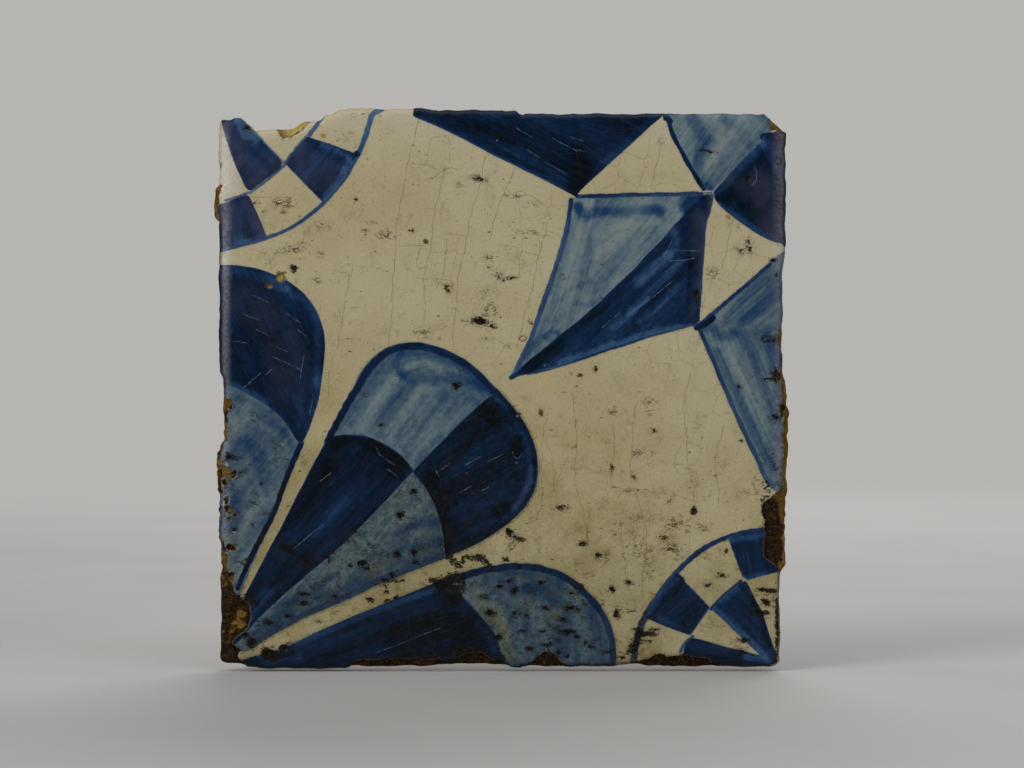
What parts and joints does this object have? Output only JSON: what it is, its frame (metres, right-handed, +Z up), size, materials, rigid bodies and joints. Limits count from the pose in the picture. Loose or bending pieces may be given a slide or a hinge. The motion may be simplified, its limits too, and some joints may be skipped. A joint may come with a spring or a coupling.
{
  "type": "delft tile",
  "caption": "Square hand-painted tin-glazed earthenware wall tile with a blue star, petal and checkered rosette pattern, rolled glaze rim, chipped edges and a flat clay back.",
  "frame": {"origin": "centre of the flat back face, which is bedded on the wall", "axes": "+Z up as the tile hangs in the picture, +Y out of the back towards the wall, the painted face looks along -Y"},
  "size_m": [0.1345, 0.008, 0.1309],
  "materials": {
    "glaze": "glossy cream tin glaze painted in light and dark blue, crazed, pitted and worn",
    "clay": "matt ochre earthenware body, stained brown along the edges"
  },
  "bodies": {
    "root": {"tile": "glaze"}
  },
  "joints": []
}
